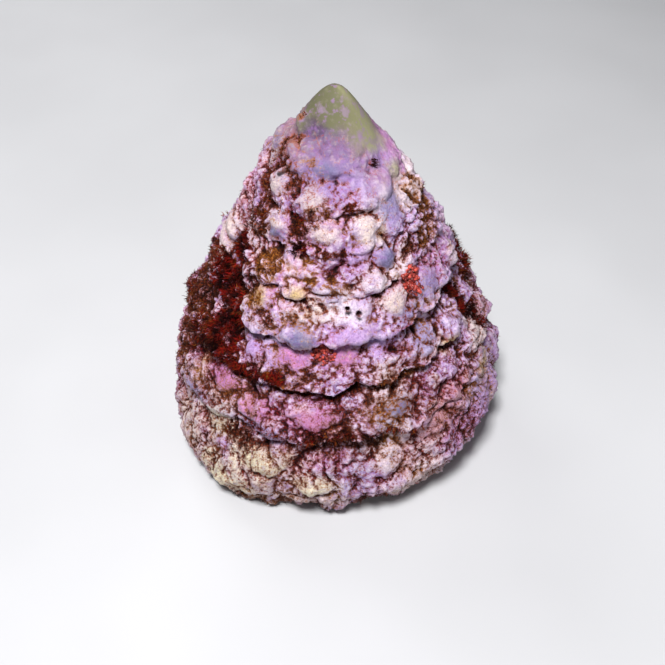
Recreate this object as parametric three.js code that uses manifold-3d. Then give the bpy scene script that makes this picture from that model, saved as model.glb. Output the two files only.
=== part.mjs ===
// A top shell: a right-handed, cone-shaped sea shell with knobbly spiral ledges and a worn, smooth tip.
// It stands on its base, with its mouth at the back left. Millimetres, +Z up along the coil's axis.
// A growth angle is 0 at the front (-Y), 90 at the left (-X), 180 at the back and 270 at the right.
// A turn number is 0 where the lowest ledge passes the front, and falls by 1 for each whorl above it.

import * as THREE from "three";
import { ParametricGeometry } from "three/addons/geometries/ParametricGeometry.js";
import { mergeGeometries, mergeVertices } from "three/addons/utils/BufferGeometryUtils.js";
import Module from "manifold-3d";

// Outer form, as a smooth outline that the ledges reach
const SHELL_RADIUS = 25.1;
const SHELL_HEIGHT = 59.4;
const TIP_BLUNTNESS = 2;
const BELLY_HEIGHT = 6;
const SIDE_POWER = 1.62;
const WAIST = { height: 31, halfHeight: 7, depth: 0.8 };

// Coil: each whorl is lower than the one above it by a pitch that grows down the shell
const LOWEST_LEDGE = 9.2;
const LEDGE_LIMIT = 80;
const TURN_RATIO = 0.88;
const LAST_DROP = { height: 3.4, from: -0.35, to: 0.12 };
const LIP_ANGLE = 138;
const TURNS_WITH_LEDGES = 7;

// Net of the coiled surface: columns in a turn, columns that a growth line slants by, rows down a whorl
const COLUMNS = 60;
const SLANT = 6;
const ROWS = [0, 0.12, 0.3, 0.5, 0.68, 0.82, 0.92, 1];
const TIP_ROW = 0.82;
const TIP_CAP_RINGS = 6;

// Ledges: depth of the overhang as a share of the pitch, and its strength on each whorl from the lowest up
const LEDGE_DEPTH = 0.3;
const LEDGE_STRENGTH = [0.2, 0.9, 1, 1.3, 0.6, 1.1, 0.8, 0.4, 0.1, 0];
const SEAM_DROP = 0.06;
const FLARE_POWER = 1.3;
const WORN_PATCH = { angle: -68, height: 17, halfAngle: 30, halfHeight: 9, loss: 0.7 };

// Lobes along the ledges: growth angles of those at the front, by ledge from the lowest up
const FRONT_LOBES = [
  [52, 30, 9, -14, -36],
  [48, 27, 9, -8, -29, -50],
  [36, 19, 1, -21, -38, -58],
  [60, 38, 15, -5, -31, -52],
  [45, 22, -2, -27, -50],
  [42, 13, -17, -45],
  [53, 18, -18, -48],
];
const LOBES_PER_TURN = 16;
const LOBE_HEIGHT = 1.2;
const LOBE_MIDDLE = 0.6;
const LOBE_DROOP = 0.14;
const LOBE_FADE_POWER = 3;

// Lumps of the crust: cell size, height and seed of each layer
const LUMP_LAYERS = [
  { cell: 8, height: 0.6, seed: 16 },
  { cell: 4, height: 0.5, seed: 23 },
];
const SMOOTH_ABOVE = 49;
const SMOOTH_OVER = 6;
const LATTICE_PRIMES = [374761393, 668265263, 1440662683, 1274126177];

// Hollows in the left side and near the tip, and a swelling low on the right
const DENTS = [
  { angle: 68, height: 37, halfAngle: 9, halfHeight: 3, depth: 1.2 },
  { angle: 62, height: 32, halfAngle: 11, halfHeight: 3.2, depth: 1.8 },
  { angle: 53, height: 27.5, halfAngle: 10, halfHeight: 2.6, depth: 1.4 },
  { angle: 42, height: 23.5, halfAngle: 9, halfHeight: 2, depth: 1.1 },
  { angle: -85, height: 53, halfAngle: 50, halfHeight: 5, depth: 0.8 },
  { angle: -80, height: 14, halfAngle: 35, halfHeight: 9, depth: -0.9 },
];

// Base: a flat foot ring, cords inside it and a dimple on the axis; each ring has a share of the lip's lift
const FOOT_INSET = 0.62;
const ROUNDING_RINGS = 3;
const BASE_RINGS = [
  { radius: 17, height: 0, lift: 1 },
  { radius: 15.6, height: 0.7, lift: 1 },
  { radius: 13.8, height: 0.4, lift: 0.95 },
  { radius: 12.2, height: 1.2, lift: 0.9 },
  { radius: 10.2, height: 0.9, lift: 0.8 },
  { radius: 7, height: 1.9, lift: 0.6 },
  { radius: 3.6, height: 3.2, lift: 0.3 },
  { radius: 0, height: 4.4, lift: 0 },
];
const LIP_LIFT = 9;
const LIP_SWEEP = 45;
const LIFT_FALL = 90;

// Mouth: a tube that runs back from the lip inside the last whorl and closes
const MOUTH_OVERRUN = 50;
const MOUTH_SWEEP = 280;
const MOUTH_STEPS = 26;
const MOUTH_SIDES = 20;
const MOUTH_CENTRE = { radius: 14.4, height: 6.2 };
const MOUTH_HALF = { width: 8, height: 4.8 };
const MOUTH_RISE = 0.8;
const MOUTH_DIP = { height: 3.2, over: 34 };
const MOUTH_NARROWING = 0.25;
const MOUTH_END_SHARE = 0.2;

// The coil's axis stands this far from the middle of the shell's box
const AXIS_OFFSET = { x: -0.375, y: 0.286 };

const LAST_ROW = ROWS.length - 1;
const LOOP_COLUMNS = COLUMNS - SLANT;
const LOOP_LENGTH = LOOP_COLUMNS + LAST_ROW;
const LAST_COLUMN = Math.round((LIP_ANGLE / 360) * COLUMNS) + SLANT;
const FIRST_COLUMN = -TURNS_WITH_LEDGES * COLUMNS;
const SLANT_ANGLE = (SLANT / COLUMNS) * 360;

const lerp = THREE.MathUtils.lerp;
const clamp = THREE.MathUtils.clamp;
const smoothstep = THREE.MathUtils.smoothstep;

// Radius of the smooth outline at a height: a rounded cone with a slight waist
function outlineRadius(height) {
  const below = Math.max(SHELL_HEIGHT - height, 0);
  const fromPoint = Math.sqrt(below * (below + 2 * TIP_BLUNTNESS));
  const rise = 1 - fromPoint / (SHELL_HEIGHT + TIP_BLUNTNESS - BELLY_HEIGHT);
  const cone = SHELL_RADIUS * (1 - Math.max(rise, 0) ** SIDE_POWER);
  return cone - WAIST.depth * Math.exp(-(((height - WAIST.height) / WAIST.halfHeight) ** 2));
}

// Height of the ledge's edge, and of the seam under it, at a turn number
function ledgeHeight(turn) {
  const drop = LAST_DROP.height * smoothstep(turn, LAST_DROP.from, LAST_DROP.to);
  return LEDGE_LIMIT - (LEDGE_LIMIT - LOWEST_LEDGE) * TURN_RATIO ** -turn - drop;
}

function pitchAt(turn) {
  return ledgeHeight(turn - 1) - ledgeHeight(turn);
}

function seamHeight(turn) {
  return ledgeHeight(turn) - SEAM_DROP * pitchAt(turn);
}

// A soft spot on the surface: 1 at its middle, near 0 outside its half sizes
function spot(place, turn, height) {
  const aside = turn * 360 - place.angle;
  const angle = aside - 360 * Math.round(aside / 360);
  return Math.exp(-((angle / place.halfAngle) ** 2) - ((height - place.height) / place.halfHeight) ** 2);
}

function ledgeStrength(turn) {
  const whorl = clamp(-turn, 0, LEDGE_STRENGTH.length - 1.001);
  const below = Math.floor(whorl);
  const strength = lerp(LEDGE_STRENGTH[below], LEDGE_STRENGTH[below + 1], whorl - below);
  return strength * (1 - WORN_PATCH.loss * spot(WORN_PATCH, turn, ledgeHeight(turn)));
}

function ledgeDepth(turn) {
  return LEDGE_DEPTH * pitchAt(turn) * ledgeStrength(turn);
}

// Turn numbers of all lobes: those seen at the front, and evenly spaced ones around the back between them
function lobeTurns() {
  const seen = FRONT_LOBES.flatMap((angles, whorl) => angles.map((angle) => angle / 360 - whorl));
  const known = [-FRONT_LOBES.length - 2, ...seen.sort((a, b) => a - b), 1];
  const turns = [];
  for (let i = 0; i + 1 < known.length; i += 1) {
    const steps = Math.max(1, Math.round((known[i + 1] - known[i]) * LOBES_PER_TURN));
    for (let step = 0; step < steps; step += 1) {
      turns.push(lerp(known[i], known[i + 1], step / steps));
    }
  }
  return turns;
}

const LOBE_TURNS = lobeTurns();

// Scalloped edge: 1 in the middle of a lobe, 0 in the notch between two
function lobeAt(turn) {
  let after = LOBE_TURNS.findIndex((place) => place > turn);
  after = clamp(after, 1, LOBE_TURNS.length - 1);
  const span = LOBE_TURNS[after] - LOBE_TURNS[after - 1];
  const part = clamp((turn - LOBE_TURNS[after - 1]) / span, 0, 1);
  const nearest = 2 * Math.min(part, 1 - part);
  return Math.sqrt(1 - nearest * nearest);
}

// A repeatable value from -1 to 1 for each point of a whole-number lattice
function latticeValue(x, y, z, seed) {
  const [first, second, third, last] = LATTICE_PRIMES;
  let mixed = Math.imul(x, first) ^ Math.imul(y, second) ^ Math.imul(z + seed, third);
  mixed = Math.imul(mixed ^ (mixed >>> 13), last);
  mixed ^= mixed >>> 16;
  return ((mixed >>> 0) / 2 ** 32) * 2 - 1;
}

// Smooth noise between the lattice values
function noise(x, y, z, seed) {
  const [left, front, under] = [Math.floor(x), Math.floor(y), Math.floor(z)];
  const ease = (part) => part * part * (3 - 2 * part);
  const [u, v, w] = [ease(x - left), ease(y - front), ease(z - under)];
  const along = (dy, dz) => lerp(
    latticeValue(left, front + dy, under + dz, seed),
    latticeValue(left + 1, front + dy, under + dz, seed),
    u,
  );
  return lerp(lerp(along(0, 0), along(1, 0), v), lerp(along(0, 1), along(1, 1), v), w);
}

// Lumps of the crust at a point of the smooth surface; they fade out on the worn tip
function lumps(x, y, z) {
  const cover = 1 - smoothstep(z, SMOOTH_ABOVE, SMOOTH_ABOVE + SMOOTH_OVER);
  let total = 0;
  for (const { cell, height, seed } of LUMP_LAYERS) {
    total += height * noise(x / cell, y / cell, z / cell, seed);
  }
  return total * cover;
}

function polarPoint(turn, radius, height, target) {
  const angle = turn * 2 * Math.PI;
  return target.set(-radius * Math.sin(angle), -radius * Math.cos(angle), height);
}

// Point of the coiled surface: share 0 is the seam above the whorl, TIP_ROW its edge, 1 the seam below it
function whorlPoint(turn, share, target) {
  const edge = lobeAt(turn);
  const strength = ledgeStrength(turn);
  const edgeHeight = ledgeHeight(turn) - LOBE_DROOP * pitchAt(turn) * strength * edge;
  const bulge = LOBE_HEIGHT * strength * (edge - LOBE_MIDDLE);
  let height;
  let offset;
  if (share <= TIP_ROW) {
    const down = share / TIP_ROW;
    height = lerp(seamHeight(turn - 1), edgeHeight, down);
    offset = bulge * down ** LOBE_FADE_POWER - ledgeDepth(turn - 1) * (1 - down) ** FLARE_POWER;
  } else {
    const under = (share - TIP_ROW) / (1 - TIP_ROW);
    height = lerp(edgeHeight, seamHeight(turn), under);
    offset = lerp(bulge, -ledgeDepth(turn), under);
  }
  const smooth = outlineRadius(height) + offset;
  polarPoint(turn, smooth, height, target);
  let radius = smooth + lumps(target.x, target.y, target.z);
  for (const dent of DENTS) {
    radius -= dent.depth * spot(dent, turn, height);
  }
  return polarPoint(turn, radius, height, target);
}

// Vertex of the coiled net; the top row is the row of the whorl above that it grew from
function netPoint(column, row, target) {
  if (row === 0) {
    return netPoint(column - LOOP_COLUMNS, LAST_ROW, target);
  }
  return whorlPoint((column - ROWS[row] * SLANT) / COLUMNS, ROWS[row], target);
}

// Closed loops that bound the net: the upper one under the tip, the lower one above the base
function upperLoop(step, target) {
  if (step <= LOOP_COLUMNS) {
    return netPoint(FIRST_COLUMN + step, 0, target);
  }
  return netPoint(FIRST_COLUMN, LOOP_LENGTH - step, target);
}

function lowerLoop(step, target) {
  if (step <= LOOP_COLUMNS) {
    return netPoint(LAST_COLUMN - LOOP_COLUMNS + step, LAST_ROW, target);
  }
  return netPoint(LAST_COLUMN, LOOP_LENGTH - step, target);
}

// Smooth tip: rings from the point down to the upper loop
function tipPoint(step, ring, target) {
  upperLoop(step % LOOP_LENGTH, target);
  if (ring === TIP_CAP_RINGS) {
    return target;
  }
  const up = 1 - ring / TIP_CAP_RINGS;
  const height = lerp(target.z, SHELL_HEIGHT, up);
  const inset = outlineRadius(target.z) - Math.hypot(target.x, target.y);
  const radius = outlineRadius(height) - inset * (1 - up);
  const turn = Math.atan2(-target.x, -target.y) / (2 * Math.PI);
  return polarPoint(turn, radius, height, target);
}

// Lift of the base past the lip, where the mouth opens; towards the axis the lip lies further back
function lipLift(angle, radius) {
  const turned = angle - LIP_ANGLE + LIP_SWEEP;
  const past = turned - 360 * Math.floor(turned / 360) - LIP_SWEEP;
  const swept = LIP_SWEEP * (1 - radius / SHELL_RADIUS);
  const rise = smoothstep(past + swept, 0, SLANT_ANGLE);
  const fall = smoothstep(past, SLANT_ANGLE, SLANT_ANGLE + LIFT_FALL);
  return LIP_LIFT * rise * (1 - fall);
}

// Base: rounded under from the lower loop to the foot ring, then rings to the axis
function basePoint(step, ring, target) {
  lowerLoop(step % LOOP_LENGTH, target);
  if (ring === 0) {
    return target;
  }
  const turn = Math.atan2(-target.x, -target.y) / (2 * Math.PI);
  if (ring > ROUNDING_RINGS) {
    const inner = BASE_RINGS[ring - ROUNDING_RINGS - 1];
    const raised = inner.lift * lipLift(turn * 360, inner.radius);
    return polarPoint(turn, inner.radius, inner.height + raised, target);
  }
  const bend = (ring / ROUNDING_RINGS) * (Math.PI / 2);
  const rim = Math.hypot(target.x, target.y);
  const lift = lipLift(turn * 360, SHELL_RADIUS);
  const inset = FOOT_INSET * (target.z - lift) * (1 - Math.cos(bend));
  const height = lerp(target.z, lift, Math.sin(bend));
  polarPoint(turn, rim - inset, height, target);
  const swell = lumps(target.x, target.y, target.z) * Math.cos(bend);
  return polarPoint(turn, rim - inset + swell, height, target);
}

// Tube of the mouth: rings of an oval, from outside the lip back to a rounded end inside the whorl
function mouthPoint(side, step, target) {
  const along = step / MOUTH_STEPS;
  const turn = (LIP_ANGLE + MOUTH_OVERRUN - along * MOUTH_SWEEP) / 360;
  const inside = Math.max(along - (1 - MOUTH_END_SHARE), 0) / MOUTH_END_SHARE;
  const scale = (1 - MOUTH_NARROWING * along) * Math.sqrt(Math.max(1 - inside * inside, 0));
  const open = step === 0 ? 0 : scale;
  const climb = Math.max(ledgeHeight(turn) - ledgeHeight(LIP_ANGLE / 360), 0);
  const dip = MOUTH_DIP.height * smoothstep(turn * 360, LIP_ANGLE - MOUTH_DIP.over, LIP_ANGLE);
  const middle = MOUTH_CENTRE.height + MOUTH_RISE * climb - dip;
  const angle = -(side % MOUTH_SIDES) * ((2 * Math.PI) / MOUTH_SIDES);
  const radius = MOUTH_CENTRE.radius + MOUTH_HALF.width * open * Math.cos(angle);
  return polarPoint(turn, radius, middle + MOUTH_HALF.height * open * Math.sin(angle), target);
}

// A sheet of columns by rows whose vertices pointAt(column, row, target) places. The columns are laid
// from the last to the first, so that slanted faces are split along their short diagonals.
function sheet(columns, rows, pointAt) {
  const place = (u, v, target) => pointAt(Math.round((1 - u) * columns), Math.round(v * rows), target);
  return new ParametricGeometry(place, columns, rows);
}

// Sheets that meet edge to edge, joined as one solid with its faces turned to point outwards
function solidOf(wasm, sheets) {
  const joined = mergeGeometries(sheets);
  joined.deleteAttribute("normal");
  joined.deleteAttribute("uv");
  const welded = mergeVertices(joined);
  const corners = welded.index.array;
  const triangles = [];
  for (let i = 0; i < corners.length; i += 3) {
    const [a, b, c] = corners.slice(i, i + 3);
    if (a !== b && b !== c && c !== a) {
      triangles.push(a, c, b);
    }
  }
  const vertProperties = welded.attributes.position.array;
  const triVerts = new Uint32Array(triangles);
  return new wasm.Manifold(new wasm.Mesh({ numProp: 3, vertProperties, triVerts }));
}

function geometryOf(solid) {
  const { vertProperties, triVerts } = solid.getMesh();
  const geometry = new THREE.BufferGeometry();
  geometry.setAttribute("position", new THREE.BufferAttribute(vertProperties, 3));
  geometry.setIndex(new THREE.BufferAttribute(triVerts, 1));
  geometry.computeVertexNormals();
  return geometry;
}

const wasm = await Module();
wasm.setup();

const coilPoint = (step, row, target) => netPoint(FIRST_COLUMN + step, row, target);
const coil = sheet(LAST_COLUMN - FIRST_COLUMN, LAST_ROW, coilPoint);
const tip = sheet(LOOP_LENGTH, TIP_CAP_RINGS, tipPoint);
const base = sheet(LOOP_LENGTH, ROUNDING_RINGS + BASE_RINGS.length, basePoint);
const mouth = sheet(MOUTH_SIDES, MOUTH_STEPS, mouthPoint);

const body = solidOf(wasm, [coil, tip, base]);
const hollow = solidOf(wasm, [mouth]);
const material = new THREE.MeshStandardMaterial({ color: 0xb79aa3, roughness: 0.75, metalness: 0 });
const shell = new THREE.Mesh(geometryOf(body.subtract(hollow)), material);
shell.name = "shell";
shell.position.set(AXIS_OFFSET.x, AXIS_OFFSET.y, 0);

const topShell = new THREE.Group();
topShell.add(shell);

export default topShell;
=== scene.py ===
import math

import bmesh
import bpy
import numpy as np
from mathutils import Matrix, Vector
from mathutils import noise as fields


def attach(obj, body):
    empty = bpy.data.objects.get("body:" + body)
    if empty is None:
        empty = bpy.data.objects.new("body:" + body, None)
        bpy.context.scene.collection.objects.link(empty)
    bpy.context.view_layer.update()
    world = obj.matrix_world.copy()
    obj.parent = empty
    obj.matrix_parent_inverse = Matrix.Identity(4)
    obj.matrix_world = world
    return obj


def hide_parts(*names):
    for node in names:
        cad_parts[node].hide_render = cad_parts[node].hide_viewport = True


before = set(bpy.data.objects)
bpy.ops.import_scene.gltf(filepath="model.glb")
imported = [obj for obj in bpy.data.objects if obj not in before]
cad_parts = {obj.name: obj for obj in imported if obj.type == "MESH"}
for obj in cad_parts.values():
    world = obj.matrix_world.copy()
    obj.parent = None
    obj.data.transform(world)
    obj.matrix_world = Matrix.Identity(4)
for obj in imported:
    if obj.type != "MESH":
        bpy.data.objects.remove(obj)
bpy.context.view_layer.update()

# A top shell under a lime crust, with red-brown turf in its grooves and two red granular colonies.
# Shapes are worked out in millimetres around the coil's axis, and turned into metres for the meshes.
# A growth angle is 0 at the front (-Y), 90 at the left (-X), 180 at the back and 270 at the right.
# A turn number is 0 where the lowest ledge passes the front, and falls by 1 for each whorl above it.
MM = 0.001
AXIS_OFFSET = np.array([-0.375, 0.286, 0.0])
BODY = "root"
NODE = "shell"

# Outer form and coil
SHELL_RADIUS = 25.1
SHELL_HEIGHT = 59.4
TIP_BLUNTNESS = 2
BELLY_HEIGHT = 6
SIDE_POWER = 1.62
WAIST = {"height": 31, "half_height": 7, "depth": 0.8}
LOWEST_LEDGE = 9.2
LEDGE_LIMIT = 80
TURN_RATIO = 0.88
LAST_DROP = {"height": 3.4, "start": -0.35, "end": 0.12}
LIP_ANGLE = 138
TURNS_WITH_LEDGES = 7

# Net of the coiled surface; EDGE_SHARE is how far down between two seams a ledge has its edge
COLUMNS = 300
SLANT = 30
EDGE_SHARE = 0.82
ROWS_ABOVE_EDGE = 15
ROWS_UNDER_EDGE = 5
TIP_CAP_RINGS = 24
ROWS = np.concatenate([
    np.linspace(0, EDGE_SHARE, ROWS_ABOVE_EDGE + 1),
    np.linspace(EDGE_SHARE, 1, ROWS_UNDER_EDGE + 1)[1:],
])
LAST_ROW = len(ROWS) - 1
LOOP_COLUMNS = COLUMNS - SLANT
LOOP_LENGTH = LOOP_COLUMNS + LAST_ROW
LAST_COLUMN = round(LIP_ANGLE / 360 * COLUMNS) + SLANT
FIRST_COLUMN = -TURNS_WITH_LEDGES * COLUMNS
SLANT_ANGLE = SLANT / COLUMNS * 360

# Ledges and the lobes along them
LEDGE_DEPTH = 0.3
LEDGE_STRENGTH = [0.2, 0.9, 1, 1.3, 0.3, 0.4, 0.4, 0.2, 0.1, 0]
SEAM_DROP = 0.14
FLARE_POWER = 1.3
WORN_PATCH = {"angle": -68, "height": 17, "half_angle": 30, "half_height": 9, "loss": 0.7}
FRONT_LOBES = [
    [52, 30, 9, -14, -36],
    [48, 27, 9, -8, -29, -50],
    [36, 19, 1, -21, -38, -58],
    [60, 38, 15, -5, -31, -52],
    [45, 22, -2, -27, -50],
    [42, 13, -17, -45],
    [53, 18, -18, -48],
]
LOBES_PER_TURN = 16
LOBE_HEIGHT = 1.2
LOBE_MIDDLE = 0.6
LOBE_DROOP = 0.1
LOBE_FADE_POWER = 3

# Large lumps, and dents; one of negative depth is a swelling
LUMP_LAYERS = [
    {"cell": 8, "height": 0.6, "seed": 16},
    {"cell": 4, "height": 0.5, "seed": 23},
]
SMOOTH_ABOVE = 49
SMOOTH_OVER = 6
LATTICE_PRIMES = [374761393, 668265263, 1440662683, 1274126177]
LATTICE_SHIFTS = [13, 16]
LATTICE_RANGE = 2.0**32
DENTS = [
    {"angle": 68, "height": 37, "half_angle": 9, "half_height": 3, "depth": 1.2},
    {"angle": 62, "height": 32, "half_angle": 11, "half_height": 3.2, "depth": 1.8},
    {"angle": 53, "height": 27.5, "half_angle": 10, "half_height": 2.6, "depth": 1.4},
    {"angle": 42, "height": 23.5, "half_angle": 9, "half_height": 2, "depth": 1.1},
    {"angle": -85, "height": 53, "half_angle": 50, "half_height": 5, "depth": 1.4},
    {"angle": -80, "height": 14, "half_angle": 35, "half_height": 9, "depth": -0.9},
]

# Base: a rounded foot, then rings with a radius, a height and a share of the lift past the lip
FOOT_INSET = 0.62
FOOT_RING = 20.5
FOOT_RING_HALF = 1
UNDERSIDE_RAMP = (0.5, 1.6)
ROUNDING_RINGS = 10
BASE_RINGS = np.array([
    (17, 0, 1), (15.6, 0.7, 1), (13.8, 0.4, 0.95), (12.2, 1.2, 0.9),
    (10.2, 0.9, 0.8), (7, 1.9, 0.6), (3.6, 3.2, 0.3), (0, 4.4, 0),
])
RINGS_BETWEEN = 6
LIP_LIFT = 9
LIP_SWEEP = 45
LIFT_FALL = 90

# Mouth: a tube that runs back from the lip inside the last whorl and closes
MOUTH_OVERRUN = 50
MOUTH_SWEEP = 280
MOUTH_STEPS = 80
MOUTH_SIDES = 40
MOUTH_CENTRE = {"radius": 14.4, "height": 6.2}
MOUTH_HALF = {"width": 8, "height": 4.8}
MOUTH_RISE = 0.8
MOUTH_DIP = {"height": 3.2, "over": 34}
MOUTH_NARROWING = 0.25
MOUTH_END_SHARE = 0.2
MOUTH_LEAST_SCALE = 0.1
MOUTH_WALL_RAMP = (1.06, 1.2)

# Crust: size of the faces that it is shaped with, triangles that are kept, and passes of smoothing
WELD_DISTANCE = 1e-4
FACE_SIZE = 0.27
TRIANGLES_KEPT = 188000
ROUNDING_PASSES = 36
LAST_ROUNDING_PASSES = 2
FINE_PASSES = 5
SHELTER_PASSES = 70

# Ramps: a share is 0 at the first value and 1 at the second. These are over the depth of a place below its
# surroundings, or, for rims, bumps and the painted highlight, over its height above them.
EDGE_RAMP = (-0.05, 0.1)
SHELTERED_RAMP = (0.1, 0.6)
RIM_RAMP = (0.15, 0.5)
BUMP_RAMP = (0, 0.1)
LEVEL_RAMP = (0, 0.3)
PAINTED_HIGHLIGHT_RAMP = (0.1, 0.6)
CREASE_RAMP = (-0.02, 0.1)
HOLLOW_RAMP = (-0.15, 0.4)
DEEP_FILM_AND_SHADE_RAMP = (0.3, 0.7)
# Ramp of the painted shade in the deep hollows under the ledges
PAINTED_SHADE_RAMP = (0.18, 0.6)

# Ramps over the height on the shell
UPPER_RAMP = (42, 46)
CLEAN_RAMP = (46, 50)
NEAR_TIP_RAMP = (49.5, 54.5)
FOOT_FILM_RAMP = (1.5, 5)
LOW_FILM_RAMP = (20, 34)

# Relief of the crust: cell size, height and seed, width of the creases between cobbles, loss on the upper
# whorls, and the least share of beads where cobbles take their place
SWELLS = {"cell": 5.0, "height": 0.28, "seed": 3, "octaves": 3}
COBBLES = {"cell": 3.3, "height": 0.8, "seed": 8, "crease": 0.6, "upper_loss": 0.35}
BEADS = {"cell": 1.65, "height": 0.38, "seed": 14, "crease": 0.55, "upper_loss": 0.4, "least": 0.2}
GRIT = {"cell": 0.75, "height": 0.09, "seed": 21, "octaves": 2}
COBBLE_LEVEL = 0.7
COBBLE_WARP = {"cell": 2.6, "strength": 0.8, "seed": 61}
BEAD_WARP = {"cell": 1.1, "strength": 0.3, "seed": 71}
BEADED = {"cell": 6, "seed": 51, "ramp": (-0.15, 0.4)}
RELIEF_LOSS = {"bare": 0.92, "sheltered": 0.6, "rim": 0.7, "near_tip": 0.65}
RIM = {"share": 0.7, "half": 0.2, "height": 0.5}

# Cells are drawn out low on the shell, where the foot is drawn in and swells at the front left
DRAWN_BELOW = 16
DRAWN_SHARE = 0.6
FOOT_TAPER = {"depth": 0.9, "ramp": (1, 8)}
FOOT_SWELL = {"angle": 45, "height": 5, "half_angle": 32, "half_height": 9, "depth": 1.7}

# Knobs of the crust: growth angle, height, half width, half height, rise
KNOBS = [
    (53, 48.6, 1.5, 1.4, 0.6), (17, 48.6, 1.7, 1.1, 0.5), (42, 44.2, 2.0, 1.4, 0.7),
    (7, 45.0, 2.2, 1.4, 0.6), (-20, 45.0, 2.0, 1.3, 0.5), (-43, 46.3, 2.2, 1.8, 0.4),
    (7, 51.5, 1.9, 0.9, 0.3), (-31, 40.8, 1.3, 0.9, 0.5),
    (38, 35.0, 1.7, 1.5, 0.5), (-30, 35.4, 1.9, 1.6, 0.6), (-8, 35.0, 2.4, 1.4, 0.4),
    (17, 32.4, 2.2, 0.9, 0.5), (-52, 35.2, 2.2, 1.7, 0.5), (17, 28.2, 2.6, 1.4, 0.5),
    (-3, 28.8, 2.4, 1.2, 0.4), (-20, 30.4, 2.2, 1.6, 0.5), (35, 28.0, 2.0, 1.3, 0.5),
    (8, 20.6, 2.8, 1.6, 0.5), (30, 19.6, 2.6, 1.5, 0.5), (47, 21.0, 2.0, 1.5, 0.4),
    (-24, 21.4, 1.8, 1.3, 0.5), (-38, 16.0, 2.8, 2.2, 0.4), (26, 11.6, 2.6, 1.8, 0.5),
    (48, 14.5, 2.4, 2.2, 0.5), (6, 8.4, 2.4, 0.9, 0.5), (84, 38.5, 2.2, 1.7, 0.6),
    (60, 52.2, 1.2, 0.8, 0.4), (82, 53.0, 1.2, 1.0, 0.4), (100, 51.0, 1.4, 1.1, 0.5),
    (38, 51.4, 1.2, 0.9, 0.35),
    (82, 34.5, 2.0, 1.7, 0.6), (77, 28.3, 2.0, 1.3, 0.5), (-8, 32.6, 2.8, 0.9, 0.4),
    (-45, 48.6, 2.0, 1.2, 0.5), (20, 37.2, 1.5, 0.9, 0.5), (38, 32.6, 2.0, 1.2, 0.4),
    (2, 36.4, 1.4, 0.8, 0.4), (7, 38.2, 1.3, 0.7, 0.4), (-20, 38.6, 1.8, 1.2, 0.4),
    (25, 41.2, 1.6, 1.0, 0.4), (-12, 42.0, 2.0, 1.0, 0.3), (60, 19.0, 2.4, 1.6, 0.5),
    (-12, 20.0, 2.0, 1.4, 0.5), (-50, 22.5, 2.2, 1.6, 0.5), (-15, 11.5, 2.8, 1.6, 0.5),
]

# How much higher the knobs stand, how steep they are, and how much less of the other relief they carry
KNOB_RISE = 1.4
DOME_POWER = 4
KNOB_CALM = 0.4

# Plates where the crust is smooth and clean: growth angle, height, half width, half height
PLATES = [
    (-9, 35.1, 3.0, 1.5), (15, 32.4, 2.4, 1.0), (-9, 32.7, 3.2, 0.9), (-47, 46.4, 2.2, 2.2),
    (3, 51.9, 1.9, 1.0), (37, 44.3, 1.6, 0.9), (-31, 34.9, 1.6, 1.2), (-20, 45.0, 1.6, 1.0),
    (18, 28.6, 2.2, 1.2), (-45, 48.8, 1.8, 1.2), (8, 20.8, 2.8, 1.5), (-3, 28.9, 2.4, 1.1),
    (47, 21.0, 2.0, 1.3), (-52, 35.2, 2.0, 1.6), (17, 48.6, 1.5, 0.9),
]
PLATE_CALM = 0.55

# Pinholes: growth angle, height, radius; then the slopes of their walls and of the painted shade in them, in
# radii
PINHOLES = [(52, 49.9, 0.5), (-6.2, 35.5, 0.4), (-11.4, 34.9, 0.44)]
PINHOLE_DEPTH = 1.1
PINHOLE_SLOPE = (0.6, 1.15)
PINHOLE_PAINTED_SHADE = (0.7, 1.1)

# Worn tip: how much higher the crust reaches on the left, where the smooth skin ends, how much lower it
# reaches on the right, how far the border spreads, and how ragged it is
TIP_LEAN = {"angle": 65, "height": 4.0}
TIP_BORDER = {
    "height": 54.2, "angle": -78, "half_angle": 44, "half_height": 12,
    "dip": 5, "below": 0.6, "above": 2.4,
}
TIP_RAGGED = [
    {"cell": 2.4, "height": 1.5, "seed": 41},
    {"cell": 0.9, "height": 0.8, "seed": 42},
]

# Colours as they are seen on screen
PALETTE = {
    "lilac": (0.755, 0.61, 0.815),
    "cream": (0.90, 0.83, 0.78),
    "ivory": (0.93, 0.90, 0.73),
    "white": (0.96, 0.90, 0.95),
    "pink": (0.81, 0.50, 0.71),
    "salmon": (0.81, 0.58, 0.61),
    "mauve": (0.57, 0.42, 0.59),
    "grey": (0.60, 0.58, 0.75),
    "slate": (0.33, 0.35, 0.52),
    "violet": (0.76, 0.63, 0.88),
    "green": (0.72, 0.71, 0.54),
    "yellow": (0.84, 0.72, 0.38),
    "sand": (0.80, 0.73, 0.66),
}

# Painted shade: the skin's colour is darker towards the tip, less so on the right: heights where that starts
# and ends, and the share of the colour that is kept there
PAINTED_TIP_SHADE = {"ramp": (44, 57), "share": 0.23, "right_share": 0.6}

# Mottle of the whole crust: colour, cell size, seed, noise value where it starts, strength
MOTTLE = [
    ("cream", 4.5, 101, -0.05, 0.75),
    ("pink", 6.0, 102, 0.15, 0.55),
    ("grey", 3.4, 103, 0.3, 0.6),
    ("salmon", 5.2, 104, 0.35, 0.5),
    ("mauve", 2.4, 106, 0.1, 0.6),
    ("yellow", 2.0, 105, 0.5, 0.45),
]

# How far the noise rises over the mottle's slope, and the strength of the painted highlight, patches and
# base
MOTTLE_SLOPE = 0.35
PAINTED_HIGHLIGHT_STRENGTH = 0.6
PATCH_STRENGTH = 0.8
BASE_STRENGTH = 0.8

# Patches are ragged; the solid share of a patch has no slope
PATCH_RAGGED = [
    {"cell": 1.6, "height": 0.35, "seed": 81},
    {"cell": 0.7, "height": 0.2, "seed": 82},
]
PATCH_SOLID = 0.3
TURF_SOLID = 0.75

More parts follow.
